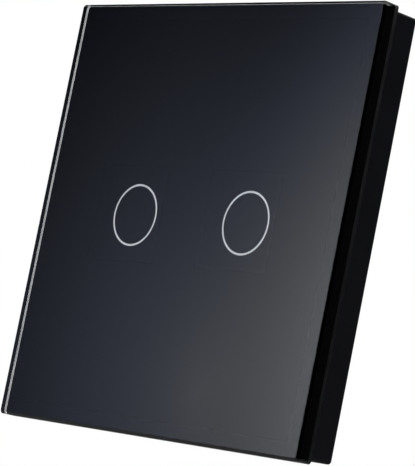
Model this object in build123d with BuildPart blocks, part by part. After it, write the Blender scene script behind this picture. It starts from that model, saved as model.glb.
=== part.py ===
from build123d import *
from math import asin, cos, degrees, pi, sin, sqrt, tau
import os

# Two-gang touch light switch: a bevelled glass panel on a clip-on frame, over a mounting plate
# that carries the sensor board in front and the relay module behind, in the wall box.
# Millimetres. X is to the right, Z is up, and the room is towards -Y.
# The origin is the middle of the mounting plate's back, on the wall.
# "Out" is the distance from the wall towards the room, and is negative inside the wall box.

# Glass panel and what is printed on its back
panel_side = 80.0
glass_thickness = 3.5
glass_corner_radius = 0.6
glass_front_bevel = 0.3
glass_rear_bevel = 0.1
print_thickness = 0.15
print_margin = 0.1
ring_inset = 9.6
ring_diameter = 11.3
ring_line = 0.4
ring_gap = 0.02

# Panel frame behind the glass
frame_depth = 5.6
frame_inset = 0.75
frame_wall = 1.8
frame_web = 1.2
frame_corner_radius = 0.7
frame_edge_round = 0.15
frame_window_gap = 1.5
frame_window_radius = 4.0
frame_rib_thickness = 1.0
frame_rib_length = 1.2
frame_rib_gap = 0.4
frame_rib_pitch = 14.0
frame_ribs_a_side = 4
pry_notch_width = 12.0
pry_notch_depth = 1.0
pry_notch_height = 1.2
tape_inset = 2.2
tape_width = 3.0
tape_thickness = 0.3
tape_gap = 0.2

# Tongues of the frame and the leaf clips that hold them
tongue_thickness = 1.4
tongue_width = 7.0
tongue_inset = 3.45
tongue_height = 20.0
tongue_tip = 0.3
tongue_window_gap = 0.5
detent_depth = 0.6
detent_height = 1.5
detent_middle = 2.75
clip_strip = 0.35
clip_width = 6.0
clip_foot = 5.0
clip_bend_radius = 0.5
clip_stand_off = 0.3
clip_bulge_height = 0.55
clip_tip_height = 0.55
rivet_radius = 0.8
rivet_head_radius = 1.4
rivet_head_height = 0.6
rivet_inset = 1.8

# Mounting plate, with slots for a wall box with its screws 60 mm apart
plate_side_gap = 1.45
plate_thickness = 1.0
plate_corner_radius = 4.0
plate_rim_height = 1.2
plate_rim_width = 0.8
wall_screw_spacing = 60.0
wall_slot_width = 4.2
wall_slot_length = 9.0
opening_margin = 2.0

# Sensor cover over the touch board
cover_side_room = 13.15
cover_height = 50.4
cover_front = 4.9
cover_wall = 1.2
cover_roof = 1.0
cover_corner_radius = 3.0
cover_edge_round = 0.5
cover_leg_width = 5.0
cover_leg_spacing = 24.0
cover_leg_gap = 0.3
cover_hook = 0.6
cover_hook_height = 0.9
stake_radius = 0.9
stake_gap = 0.1
stake_boss_radius = 2.0
stake_head_radius = 1.5
stake_head_height = 0.45
stake_inset = 2.6

# Touch board with its springs, light guides, lamps and controller
touch_board_thickness = 1.2
touch_board_back = 1.6
touch_board_gap = 0.3
touch_board_radius = 2.0
guide_wall = 1.1
guide_flange = 0.8
guide_gap = 0.2
guide_front_gap = 0.25
lamp_length = 1.0
lamp_width = 0.5
lamp_height = 0.5
lamp_gap = 0.1
spring_wire = 0.3
spring_foot_radius = 2.2
spring_head_radius = 3.4
spring_turns_count = 3
spring_arcs_count = 4
spring_front_gap = 0.1
spring_foot_gap = 0.02
controller_width = 3.9
controller_length = 9.9
controller_height = 1.5
controller_edge = 0.25

# Header that joins the two boards
header_pins_count = 8
header_pitch = 2.54
header_width = 2.5
header_height = 2.5
header_inset = 2.2
pin_thickness = 0.64
pin_hole_radius = 0.55
pin_stick_out = 0.8

# Rear housing in the wall box
housing_width = 44.0
housing_height = 46.0
housing_rear_gap = 0.2
housing_corner = 6.0
housing_wall = 1.5
housing_ledge = 0.8
housing_edge_round = 1.0
ear_offset = 2.2
ear_height = 9.0
ear_radius = 2.6
ear_thickness = 2.5
ear_screw_radius = 1.25
ear_hole_gap = 0.1
ear_head_radius = 2.2
ear_head_height = 1.3
vent_length = 8.0
vent_width = 1.2
vent_pitch = 3.0
vent_count = 5
vent_rows_spacing = 20.0
vent_middle = 8.0
board_gap = 0.3
power_board_thickness = 1.6

# Relays, each with its own magnet and contacts
relay_length = 17.5
relay_width = 6.5
relay_height = 12.3
relay_spacing = 0.7
relay_side_gap = 1.05
relay_top_gap = 7.45
relay_shell = 0.5
relay_shell_lift = 0.3
relay_base = 1.2
relay_inner_gap = 0.2
yoke_thickness = 1.0
yoke_width = 4.6
yoke_head_room = 2.7
core_radius = 1.2
core_from_yoke = 4.3
pole_radius = 2.0
pole_height = 0.5
magnet_gap = 0.2
bobbin_flange_side = 5.0
bobbin_flange = 0.5
bobbin_tube = 0.3
bobbin_gap = 0.05
armature_thickness = 0.9
armature_width = 4.2
armature_lift = 0.05
armature_stop_gap = 0.03
contact_strip = 0.25
contact_strip_width = 2.6
contact_radius = 0.8
contact_height = 0.45
contact_from_end = 1.9
fixed_strip = 0.5

# Supply parts on the power board
core_side = 13.0
core_height = 10.5
core_thickness = 5.5
core_leg = 1.6
core_centre_leg = 3.2
core_top_gap = 3.0
winding_build = 2.0
winding_gap = 0.1
winding_end_gap = 0.35
can_radius = 3.15
can_height = 11.0
can_edge = 0.5
can_groove = 0.35
can_groove_from_foot = 1.6
can_side_gap = 0.95
can_top_gap = 2.75
can_spacing = 0.5
film_length = 13.0
film_width = 5.0
film_height = 10.5
film_edge = 0.6
film_side_gap = 1.0
film_core_gap = 2.0
varistor_radius = 4.0
varistor_thickness = 3.5
varistor_side_gap = 0.5
varistor_block_gap = 3.35
varistor_lift = 0.8
lead_radius = 0.35
lead_spacing = 5.0
fuse_radius = 4.2
fuse_height = 7.5
fuse_edge = 0.4
fuse_varistor_gap = 1.5
fuse_block_gap = 0.8
rectifier_length = 4.7
rectifier_width = 3.9
rectifier_height = 2.3
rectifier_edge = 0.3
rectifier_side_gap = 6.85
rectifier_block_gap = 2.05

# Terminal block with rising clamps
ways = 4
way_pitch = 7.0
block_end_wall = 0.6
block_height = 10.4
block_recess = 0.2
block_gap = 0.2
block_front_wall = 0.8
block_bottom_wall = 1.3
block_edge = 0.35
cage_width = 5.0
cage_length = 4.4
cage_front_wall = 1.0
cage_side_wall = 0.8
cage_nut = 2.0
cage_gap = 0.2
cage_edge = 0.25
bar_thickness = 1.0
bar_width = 2.8
bar_gap = 0.1
bar_leg_pin_width = 1.1
bar_leg_pin_thickness = 0.8
bar_pin_hole_radius = 0.8
clamp_spare = 0.2
screw_radius = 1.3
screw_running_gap = 0.05
screw_seat_gap = 0.15
screw_tip_gap = 0.05
screw_tip_edge = 0.3
screw_pitch = 0.45
screw_seat = 0.8
screw_head_radius = 2.1
screw_head_height = 1.15
screw_head_gap = 0.25
screw_head_recess = 0.1
screw_head_edge = 0.2
cross_width = 0.6
cross_length = 2.6
cross_depth = 0.7
entry_width = 3.8
entry_lead = 0.45

# Places that follow from the sizes above
glass_back = frame_depth
glass_front = glass_back + glass_thickness
print_back = glass_back - print_thickness
print_side = panel_side - 2 * (glass_rear_bevel + print_margin)
frame_side = panel_side - 2 * frame_inset
cavity_side = frame_side - 2 * frame_wall
web_back = print_back - frame_web
tongue_reach = cavity_side / 2 - tongue_inset
plate_side = cavity_side - 2 * plate_side_gap
plate_front = plate_thickness
cover_width = cavity_side - 2 * cover_side_room
ring_pitch = cover_width - 2 * ring_inset
touch_board_front = touch_board_back + touch_board_thickness
roof_back = cover_front - cover_roof
guide_front = print_back - guide_front_gap
power_board_front = touch_board_back - header_height
power_board_back = power_board_front - power_board_thickness
tallest_part = max(relay_height, core_height, can_height, film_height, fuse_height)
housing_floor = power_board_back - tallest_part - housing_rear_gap
housing_back = housing_floor - housing_wall
ear_reach = housing_width / 2 + ear_offset
inner_side = housing_width / 2 - housing_wall - housing_ledge
inner_top = housing_height / 2 - housing_wall - housing_ledge
ring_outer_radius = (ring_diameter + ring_line) / 2
ring_inner_radius = (ring_diameter - ring_line) / 2
guide_outer_radius = (ring_diameter + guide_wall) / 2
guide_inner_radius = (ring_diameter - guide_wall) / 2
gang_places = [(-ring_pitch / 2, 0), (ring_pitch / 2, 0)]
four_signs = [(-1, -1), (1, -1), (1, 1), (-1, 1)]
octagon_share = 2 - sqrt(2)


def layer(out):
    """Plane parallel to the wall, with its normal towards the room."""
    return Plane.XZ.offset(out)


def block(width, height, low, high, places=((0, 0),), radius=0, mode=Mode.ADD):
    """Upright blocks between two distances from the wall, one at each place."""
    with BuildSketch(layer(low)) as profile:
        with Locations(*places):
            if radius > 0:
                RectangleRounded(width, height, radius)
            else:
                Rectangle(width, height)
    extrude(profile.sketch, amount=high - low, mode=mode)


def drum(radius, low, high, places=((0, 0),), mode=Mode.ADD):
    """Round blocks between two distances from the wall, one at each place."""
    with BuildSketch(layer(low)) as profile:
        with Locations(*places):
            Circle(radius)
    extrude(profile.sketch, amount=high - low, mode=mode)


def octagon(inset, low, high, mode=Mode.ADD):
    """The housing's outline with cut corners, drawn in by inset."""
    with BuildSketch(layer(low)) as profile:
        Rectangle(housing_width - 2 * inset, housing_height - 2 * inset)
        chamfer(profile.vertices(), length=housing_corner - octagon_share * inset)
    extrude(profile.sketch, amount=high - low, mode=mode)


def cross(places, head_face, direction):
    """Cross recess in the screw heads whose faces lie at head_face."""
    floor = head_face + direction * cross_depth
    low, high = min(head_face, floor), max(head_face, floor)
    block(cross_length, cross_width, low, high, places, mode=Mode.SUBTRACT)
    block(cross_width, cross_length, low, high, places, mode=Mode.SUBTRACT)


def keep(piece, name):
    """Labels the piece and writes it under its name."""
    piece.part.label = name
    export_step(piece.part, f"parts/{name}.step")


os.makedirs("parts", exist_ok=True)

# Glass panel: a square plate with ground bevels round its front and back
with BuildPart() as glass_panel:
    block(panel_side, panel_side, glass_back, glass_front, radius=glass_corner_radius)
    chamfer(glass_panel.faces().sort_by(Axis.Y)[0].edges(), length=glass_front_bevel)
    chamfer(glass_panel.faces().sort_by(Axis.Y)[-1].edges(), length=glass_rear_bevel)
keep(glass_panel, "glass_panel")

# Black print on the glass's back, with a ring-shaped window for each gang
with BuildPart() as back_print:
    block(print_side, print_side, print_back, glass_back, radius=glass_corner_radius)
    with BuildSketch(layer(print_back)):
        with Locations(*gang_places):
            Circle(ring_outer_radius)
            Circle(ring_inner_radius, mode=Mode.SUBTRACT)
    extrude(amount=print_thickness, mode=Mode.SUBTRACT)
keep(back_print, "back_print")

# Pale rings printed in the windows
with BuildPart() as touch_rings:
    with BuildSketch(layer(print_back)):
        with Locations(*gang_places):
            Circle(ring_outer_radius - ring_gap)
            Circle(ring_inner_radius + ring_gap, mode=Mode.SUBTRACT)
    extrude(amount=print_thickness)
keep(touch_rings, "touch_rings")

# Panel frame: an open-backed tray, its web bonded to the glass and its tongues reaching back
window_width = cover_width + 2 * frame_window_gap
window_height = cover_height + 2 * frame_window_gap
tape_side = frame_side - 2 * tape_inset
tape_floor = print_back - tape_thickness
tongue_middle = tongue_reach - tongue_thickness / 2
tongue_inner = tongue_reach - tongue_thickness
tongue_places = [(sx * tongue_middle, sz * tongue_height) for sx, sz in four_signs]
detent_places = [(sx * tongue_inner, sz * tongue_height) for sx, sz in four_signs]
rib_start = plate_front + plate_rim_height + frame_rib_gap
rib_middle = cavity_side / 2 - frame_rib_length / 2
rib_steps = [(n - (frame_ribs_a_side - 1) / 2) * frame_rib_pitch for n in range(frame_ribs_a_side)]
with BuildPart() as panel_frame:
    block(frame_side, frame_side, 0, print_back, radius=frame_corner_radius)
    fillet(panel_frame.faces().sort_by(Axis.Y)[-1].edges(), radius=frame_edge_round)
    block(cavity_side, cavity_side, 0, web_back, radius=frame_corner_radius, mode=Mode.SUBTRACT)
    block(window_width, window_height, web_back, print_back,
          radius=frame_window_radius, mode=Mode.SUBTRACT)
    with BuildSketch(layer(tape_floor)):
        Rectangle(tape_side + 2 * tape_gap, tape_side + 2 * tape_gap)
        inside = tape_side - 2 * (tape_width + tape_gap)
        Rectangle(inside, inside, mode=Mode.SUBTRACT)
    extrude(amount=tape_thickness, mode=Mode.SUBTRACT)
    block(tongue_thickness, tongue_width, tongue_tip, web_back, tongue_places)
    block(2 * detent_depth, tongue_width, detent_middle - detent_height / 2,
          detent_middle + detent_height / 2, detent_places, mode=Mode.SUBTRACT)
    for side in (-1, 1):
        upright_ribs = [(side * rib_middle, step) for step in rib_steps]
        level_ribs = [(step, side * rib_middle) for step in rib_steps]
        block(frame_rib_length, frame_rib_thickness, rib_start, web_back, upright_ribs)
        block(frame_rib_thickness, frame_rib_length, rib_start, web_back, level_ribs)
    block(pry_notch_width, 2 * pry_notch_depth, 0, pry_notch_height,
          [(0, -frame_side / 2)], mode=Mode.SUBTRACT)
keep(panel_frame, "panel_frame")

# Double-sided tape in the frame's groove
with BuildPart() as bonding_tape:
    with BuildSketch(layer(tape_floor)):
        Rectangle(tape_side, tape_side)
        Rectangle(tape_side - 2 * tape_width, tape_side - 2 * tape_width, mode=Mode.SUBTRACT)
    extrude(amount=tape_thickness)
keep(bonding_tape, "bonding_tape")

# Leaf clips on the plate: each bulge sits in the detent of one tongue
clip_face = tongue_inner - clip_stand_off
clip_line = clip_face - clip_strip / 2
clip_start = clip_line - clip_foot
clip_low = plate_front + clip_strip / 2
bulge_line = tongue_inner + detent_depth - clip_stand_off - clip_strip / 2
rivet_x = clip_start + rivet_inset
rivet_places = [(sx * rivet_x, sz * tongue_height) for sx, sz in four_signs]
with BuildPart() as retaining_clips:
    for sx, sz in four_signs:
        outline = (
            (clip_start, clip_low),
            (clip_line, clip_low),
            (clip_line, detent_middle - clip_bulge_height),
            (bulge_line, detent_middle),
            (clip_line, detent_middle + clip_bulge_height),
            (clip_line, detent_middle + clip_bulge_height + clip_tip_height),
        )
        with BuildLine() as leaf:
            FilletPolyline(*[(sx * x, -out, sz * tongue_height) for x, out in outline],
                           radius=clip_bend_radius)
        start = Plane(origin=leaf.line @ 0, x_dir=(0, 0, 1), z_dir=leaf.line % 0)
        with BuildSketch(start) as strip:
            Rectangle(clip_width, clip_strip)
        sweep(strip.sketch, path=leaf.wire())
    drum(rivet_radius, plate_front, plate_front + clip_strip, rivet_places, Mode.SUBTRACT)
keep(retaining_clips, "retaining_clips")

# Rivets of the leaf clips, flush with the plate's back
with BuildPart() as clip_rivets:
    drum(rivet_radius, 0, plate_front + clip_strip, rivet_places)
    drum(rivet_head_radius, plate_front + clip_strip,
         plate_front + clip_strip + rivet_head_height, rivet_places)
keep(clip_rivets, "clip_rivets")

# Mounting plate: pressed steel with a turned-up rim, on the wall
opening_width = housing_width - 2 * opening_margin
opening_height = housing_height - 2 * opening_margin
leg_z = cover_height / 2 - cover_wall / 2
leg_places = [(sx * cover_leg_spacing / 2, sz * leg_z) for sx, sz in four_signs]
ear_places = [(sx * ear_reach, sz * ear_height) for sx, sz in four_signs]
with BuildPart() as mounting_plate:
    block(plate_side, plate_side, 0, plate_front + plate_rim_height, radius=plate_corner_radius)
    inside = plate_side - 2 * plate_rim_width
    block(inside, inside, plate_front, plate_front + plate_rim_height,
          radius=plate_corner_radius - plate_rim_width, mode=Mode.SUBTRACT)
    block(opening_width, opening_height, 0, plate_front,
          radius=plate_corner_radius, mode=Mode.SUBTRACT)
    with BuildSketch(layer(0)):
        with Locations((-wall_screw_spacing / 2, 0), (wall_screw_spacing / 2, 0)):
            SlotOverall(wall_slot_length, wall_slot_width)
        with Locations((0, -wall_screw_spacing / 2), (0, wall_screw_spacing / 2)):
            SlotOverall(wall_slot_length, wall_slot_width, rotation=90)
    extrude(amount=plate_thickness, mode=Mode.SUBTRACT)
    block(tongue_thickness + 2 * tongue_window_gap, tongue_width + 2 * tongue_window_gap,
          0, plate_front, tongue_places, mode=Mode.SUBTRACT)
    block(cover_leg_width + 2 * cover_leg_gap, cover_wall + 2 * cover_leg_gap,
          0, plate_front, leg_places, mode=Mode.SUBTRACT)
    drum(ear_screw_radius, 0, plate_front, ear_places, Mode.SUBTRACT)
    drum(rivet_radius, 0, plate_front, rivet_places, Mode.SUBTRACT)
keep(mounting_plate, "mounting_plate")

# Sensor cover: a cap snapped through the plate, with a hole for each light guide
board_width = cover_width - 2 * (cover_wall + touch_board_gap)
board_height = housing_height - 2 * opening_margin + 2 * touch_board_gap
stake_x = board_width / 2 - stake_inset
stake_z = board_height / 2 - stake_inset
stake_places = [(sx * stake_x, sz * stake_z) for sx, sz in four_signs]
hook_shift = cover_wall / 2 + cover_hook / 2 + cover_leg_gap / 2
hook_places = [(x, z + (hook_shift if z > 0 else -hook_shift)) for x, z in leg_places]
with BuildPart() as sensor_cover:
    block(cover_width, cover_height, plate_front, cover_front, radius=cover_corner_radius)
    fillet(sensor_cover.faces().sort_by(Axis.Y)[0].edges(), radius=cover_edge_round)
    block(cover_width - 2 * cover_wall, cover_height - 2 * cover_wall, plate_front, roof_back,
          radius=cover_corner_radius - cover_wall, mode=Mode.SUBTRACT)
    drum(guide_outer_radius + guide_gap, roof_back, cover_front, gang_places, Mode.SUBTRACT)
    drum(stake_boss_radius, touch_board_front, roof_back, stake_places)
    drum(stake_radius, touch_board_back, touch_board_front, stake_places)
    drum(stake_head_radius, touch_board_back - stake_head_height, touch_board_back, stake_places)
    block(cover_leg_width, cover_wall, -cover_hook_height, plate_front, leg_places)
    block(cover_leg_width, cover_hook + cover_leg_gap, -cover_hook_height, 0, hook_places)
keep(sensor_cover, "sensor_cover")

# Touch board, held against the cover's bosses by the staked pins
header_z = board_height / 2 - header_inset
header_start = -(header_pins_count - 1) / 2 * header_pitch
pin_places = [(header_start + n * header_pitch, header_z) for n in range(header_pins_count)]
with BuildPart() as touch_board:
    block(board_width, board_height, touch_board_back, touch_board_front,
          radius=touch_board_radius)
    drum(stake_radius + stake_gap, touch_board_back, touch_board_front, stake_places,
         Mode.SUBTRACT)
    drum(pin_hole_radius, touch_board_back, touch_board_front, pin_places, Mode.SUBTRACT)
keep(touch_board, "touch_board")

# Light guides: clear collars trapped between the board and the cover
lamp_places = [(x, side * ring_diameter / 2) for x, _ in gang_places for side in (-1, 1)]
with BuildPart() as light_guides:
    drum(guide_outer_radius + guide_flange, touch_board_front, roof_back, gang_places)
    drum(guide_outer_radius, roof_back, guide_front, gang_places)
    drum(guide_inner_radius, touch_board_front, guide_front, gang_places, Mode.SUBTRACT)
    block(lamp_length + 2 * lamp_gap, lamp_width + 2 * lamp_gap, touch_board_front,
          touch_board_front + lamp_height + lamp_gap, lamp_places, mode=Mode.SUBTRACT)
keep(light_guides, "light_guides")

# Indicator lamps under the guides
with BuildPart() as indicator_lamps:
    block(lamp_length, lamp_width, touch_board_front, touch_board_front + lamp_height,
          lamp_places)
keep(indicator_lamps, "indicator_lamps")

# Touch springs: conical coils of tangent arcs, from the board to just behind the print
spring_foot = touch_board_front + spring_foot_gap + spring_wire / 2
spring_head = print_back - spring_front_gap - spring_wire / 2
spring_steps = spring_turns_count * spring_arcs_count


def coil_point(place, step):
    """A point on the centre line of the spring's wire at a place on the board."""
    share = step / spring_steps
    radius = spring_foot_radius + (spring_head_radius - spring_foot_radius) * share
    turn = tau * share * spring_turns_count
    out = spring_foot + (spring_head - spring_foot) * share
    return Vector(place[0] + radius * cos(turn), -out, place[1] + radius * sin(turn))


with BuildPart() as touch_springs:
    for place in gang_places:
        full_turn = tau * spring_turns_count
        heading = Vector((spring_head_radius - spring_foot_radius) / full_turn,
                         -(spring_head - spring_foot) / full_turn, spring_foot_radius)
        with BuildLine() as coil:
            for step in range(spring_steps):
                arc = TangentArc(coil_point(place, step), coil_point(place, step + 1),
                                 tangent=heading)
                heading = arc % 1
        start = Plane(origin=coil_point(place, 0), z_dir=coil.wire() % 0)
        with BuildSketch(start) as wire_section:
            Circle(spring_wire / 2)
        sweep(wire_section.sketch, path=coil.wire())
turn_rise = (spring_head - spring_foot) / spring_turns_count
turn_growth = (spring_head_radius - spring_foot_radius) / spring_turns_count
print("touch spring: least gap between turns", round(sqrt(turn_rise**2 + turn_growth**2) - spring_wire, 3))
keep(touch_springs, "touch_springs")

# Touch controller on the back of the touch board
with BuildPart() as touch_controller:
    block(controller_width, controller_length, touch_board_back - controller_height,
          touch_board_back)
    chamfer(touch_controller.faces().sort_by(Axis.Y)[-1].edges(), length=controller_edge)
keep(touch_controller, "touch_controller")

# Header between the boards: its plastic body and its pins
header_length = header_pins_count * header_pitch
with BuildPart() as pin_header:
    block(header_length, header_width, power_board_front, touch_board_back, [(0, header_z)])
    block(pin_thickness, pin_thickness, power_board_front, touch_board_back, pin_places,
          mode=Mode.SUBTRACT)
keep(pin_header, "pin_header")

with BuildPart() as header_pins:
    block(pin_thickness, pin_thickness, power_board_back - pin_stick_out,
          touch_board_front + pin_stick_out, pin_places)
keep(header_pins, "header_pins")

# Rear housing: a moulded box with ears, open in front, cut away round the terminals
block_width = ways * way_pitch + 2 * block_end_wall
block_bottom = -housing_height / 2
block_top = block_bottom + block_height
block_rear = housing_back + block_recess
cut_top = block_top + block_gap
vent_steps = [(n - (vent_count - 1) / 2) * vent_pitch for n in range(vent_count)]
vent_places = [(side * vent_rows_spacing / 2, vent_middle + step)
               for side in (-1, 1) for step in vent_steps]
with BuildPart() as rear_housing:
    octagon(0, housing_back, 0)
    fillet(rear_housing.faces().sort_by(Axis.Y)[-1].edges(), radius=housing_edge_round)
    drum(ear_radius, -ear_thickness, 0, ear_places)
    bridge_middle = (ear_reach + housing_width / 2) / 2
    bridge_places = [(sx * bridge_middle, sz * ear_height) for sx, sz in four_signs]
    block(ear_reach - housing_width / 2, 2 * ear_radius, -ear_thickness, 0, bridge_places)
    octagon(housing_wall, power_board_back, 0, Mode.SUBTRACT)
    octagon(housing_wall + housing_ledge, housing_floor, power_board_back, Mode.SUBTRACT)
    drum(ear_screw_radius + ear_hole_gap, -ear_thickness, 0, ear_places, Mode.SUBTRACT)
    cut_height = cut_top - block_bottom
    block(block_width + 2 * block_gap, cut_height, housing_back, power_board_back + block_gap,
          [(0, block_bottom + cut_height / 2)], mode=Mode.SUBTRACT)
    with BuildSketch(layer(housing_back)):
        with Locations(*vent_places):
            SlotOverall(vent_length, vent_width)
    extrude(amount=housing_wall, mode=Mode.SUBTRACT)
keep(rear_housing, "rear_housing")

# Screws that hold the housing to the plate, driven from behind
with BuildPart() as housing_screws:
    drum(ear_screw_radius, -ear_thickness, plate_front, ear_places)
    head_face = -ear_thickness - ear_head_height
    drum(ear_head_radius, head_face, -ear_thickness, ear_places)
    cross(ear_places, head_face, 1)
keep(housing_screws, "housing_screws")

# Power board on the housing's ledge
way_places = [(n - (ways - 1) / 2) * way_pitch for n in range(ways)]
bar_end = block_top - block_bottom_wall
bar_leg_middle = bar_end - bar_thickness / 2
bar_pin_places = [(x, bar_leg_middle) for x in way_places]
with BuildPart() as power_board:
    octagon(housing_wall + board_gap, power_board_back, power_board_front)
    drum(pin_hole_radius, power_board_back, power_board_front, pin_places, Mode.SUBTRACT)
    drum(bar_pin_hole_radius, power_board_back, power_board_front, bar_pin_places,
         Mode.SUBTRACT)
keep(power_board, "power_board")

# Clamp geometry: places along the screw, from the board to the screw's head. The cage's window
# and its travel share the depth that the walls, the nut and the screw's head leave.
cage_front = power_board_back - block_front_wall - cage_gap
rear_stack = cage_gap + screw_seat + screw_tip_gap + screw_head_height + screw_head_recess
cage_depth = cage_front - block_rear - rear_stack
cage_window = (cage_depth - cage_front_wall - cage_nut + bar_gap + bar_thickness + clamp_spare) / 2
window_front = cage_front - cage_front_wall
nut_front = window_front - cage_window
nut_back = nut_front - cage_nut
bar_back = nut_front + bar_gap
bar_front = bar_back + bar_thickness
clamp_travel = window_front - bar_front - clamp_spare
chamber_back = nut_back - clamp_travel - cage_gap
seat_back = chamber_back - screw_seat
cage_z = block_bottom + block_bottom_wall + cage_gap + cage_length / 2
cage_places = [(x, cage_z) for x in way_places]

# Terminal block: a chamber, a bar slot, a wire entry and a screw recess for each way
with BuildPart() as terminal_block:
    block(block_width, block_height, block_rear, power_board_back,
          [(0, block_bottom + block_height / 2)])
    chamfer(terminal_block.faces().sort_by(Axis.Y)[-1].edges(), length=block_edge)
    block(cage_width + 2 * cage_gap, cage_length + 2 * cage_gap, chamber_back,
          cage_front + cage_gap, cage_places, mode=Mode.SUBTRACT)
    slot_bottom = cage_z - cage_length / 2
    slot_height = bar_end + bar_gap - slot_bottom
    slot_places = [(x, slot_bottom + slot_height / 2) for x in way_places]
    block(bar_width + 2 * bar_gap, slot_height, bar_back - bar_gap, power_board_back,
          slot_places, mode=Mode.SUBTRACT)
    drum(screw_radius + screw_seat_gap, seat_back, chamber_back, cage_places, Mode.SUBTRACT)
    drum(screw_head_radius + screw_head_gap, block_rear, seat_back, cage_places, Mode.SUBTRACT)
    entry_height = window_front - bar_front
    entry_y = -(window_front + bar_front) / 2
    with BuildSketch(Plane.XY.offset(block_bottom)) as entries:
        with Locations(*[(x, entry_y) for x in way_places]):
            Rectangle(entry_width, entry_height)
    extrude(amount=block_bottom_wall, mode=Mode.SUBTRACT)
    with BuildSketch(Plane.XY.offset(block_bottom)) as funnels:
        with Locations(*[(x, entry_y) for x in way_places]):
            Rectangle(entry_width + 2 * entry_lead, entry_height + 2 * entry_lead)
    extrude(amount=entry_lead, taper=45, mode=Mode.SUBTRACT)
keep(terminal_block, "terminal_block")

# Contact bars: each runs through its clamp and turns down into the board
with BuildPart() as contact_bars:
    for x in way_places:
        level_height = bar_end - slot_bottom
        block(bar_width, level_height, bar_back, bar_front,
              [(x, slot_bottom + level_height / 2)])
        block(bar_width, bar_thickness, bar_back, power_board_back, [(x, bar_leg_middle)])
        block(bar_leg_pin_width, bar_leg_pin_thickness, power_board_back,
              power_board_front + pin_stick_out / 2, [(x, bar_leg_middle)])
keep(contact_bars, "contact_bars")

# Rising clamps: a cage round the bar, with the screw's thread in its rear wall
for number, (x, z) in enumerate(cage_places, start=1):
    with BuildPart() as clamp_cage:
        block(cage_width, cage_length, nut_back, cage_front, [(x, z)])
        chamfer(clamp_cage.edges().filter_by(Axis.Y), length=cage_edge)
        block(cage_width - 2 * cage_side_wall, cage_length, nut_front, window_front, [(x, z)],
              mode=Mode.SUBTRACT)
        drum(screw_radius + screw_running_gap, nut_back, nut_front, [(x, z)], Mode.SUBTRACT)
    keep(clamp_cage, f"clamp_cage_{number}")

# Terminal screws: the tip bears on the bar, so the cage rises as the screw turns
screw_tip = bar_back - screw_tip_gap
head_front = seat_back - screw_tip_gap
head_face = head_front - screw_head_height
for number, (x, z) in enumerate(cage_places, start=1):
    with BuildPart() as terminal_screw:
        drum(screw_radius, head_front, screw_tip, [(x, z)])
        chamfer(terminal_screw.faces().sort_by(Axis.Y)[0].edges(), length=screw_tip_edge)
        drum(screw_head_radius, head_face, head_front, [(x, z)])
        chamfer(terminal_screw.faces().sort_by(Axis.Y)[-1].edges(), length=screw_head_edge)
        cross([(x, z)], head_face, 1)
    keep(terminal_screw, f"terminal_screw_{number}")

# Relays: places in one relay are measured up from the board and along from its middle
relay_first_x = relay_side_gap + relay_width / 2 - inner_side
relay_xs = [relay_first_x, relay_first_x + relay_width + relay_spacing]
relay_middle_z = inner_top - relay_top_gap - relay_length / 2
yoke_top = relay_height - yoke_head_room


def up(height):
    """Distance from the wall of a height above the power board's back."""
    return power_board_back - height


def relay_block(width, length, low, high, along, mode=Mode.ADD):
    """One block in each relay, its middle along the relay's length."""
    places = [(x, relay_middle_z + along) for x in relay_xs]
    block(width, length, up(high), up(low), places, mode=mode)


inner_end = relay_length / 2 - relay_shell - relay_inner_gap
yoke_end = -inner_end
yoke_middle = yoke_end + yoke_thickness / 2
core_along = yoke_middle + core_from_yoke
core_places = [(x, relay_middle_z + core_along) for x in relay_xs]
yoke_foot = relay_base + yoke_thickness
armature_low = yoke_top + armature_lift
pole_top = armature_low - magnet_gap
armature_end = core_along + pole_radius
armature_reach = armature_end - yoke_middle
armature_swing = asin((magnet_gap - armature_stop_gap) / armature_reach)
armature_top = armature_low + armature_thickness
contact_along = inner_end - contact_from_end
contact_travel = (contact_along + contact_radius - yoke_middle) * sin(armature_swing)
moving_contact_low = armature_top - contact_height
fixed_contact_top = moving_contact_low - contact_travel - armature_stop_gap

with BuildPart() as relay_bases:
    base_width = relay_width - 2 * (relay_shell + relay_inner_gap)
    relay_block(base_width, 2 * inner_end, 0, relay_base, 0)
keep(relay_bases, "relay_bases")

with BuildPart() as relay_covers:
    relay_block(relay_width, relay_length, relay_shell_lift, relay_height, 0)
    fillet(relay_covers.faces().filter_by(Axis.Y).sort_by(Axis.Y)[-2:].edges(),
           radius=relay_shell)
    relay_block(relay_width - 2 * relay_shell, relay_length - 2 * relay_shell,
                relay_shell_lift, relay_height - relay_shell, 0, Mode.SUBTRACT)
keep(relay_covers, "relay_covers")

with BuildPart() as relay_yokes:
    foot_length = core_along + pole_radius - yoke_end
    relay_block(yoke_width, foot_length, relay_base, yoke_foot, yoke_end + foot_length / 2)
    relay_block(yoke_width, yoke_thickness, yoke_foot, yoke_top, yoke_middle)
    drum(core_radius, up(pole_top - pole_height), up(yoke_foot), core_places)
    drum(pole_radius, up(pole_top), up(pole_top - pole_height), core_places)
keep(relay_yokes, "relay_yokes")

bobbin_low = yoke_foot + bobbin_gap
bobbin_high = pole_top - pole_height - bobbin_gap
bore_radius = core_radius + bobbin_gap
with BuildPart() as relay_bobbins:
    relay_block(bobbin_flange_side, bobbin_flange_side, bobbin_low, bobbin_low + bobbin_flange,
                core_along)
    relay_block(bobbin_flange_side, bobbin_flange_side, bobbin_high - bobbin_flange,
                bobbin_high, core_along)
    drum(bore_radius + bobbin_tube, up(bobbin_high), up(bobbin_low), core_places)
    drum(bore_radius, up(bobbin_high), up(bobbin_low), core_places, Mode.SUBTRACT)
keep(relay_bobbins, "relay_bobbins")

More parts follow.
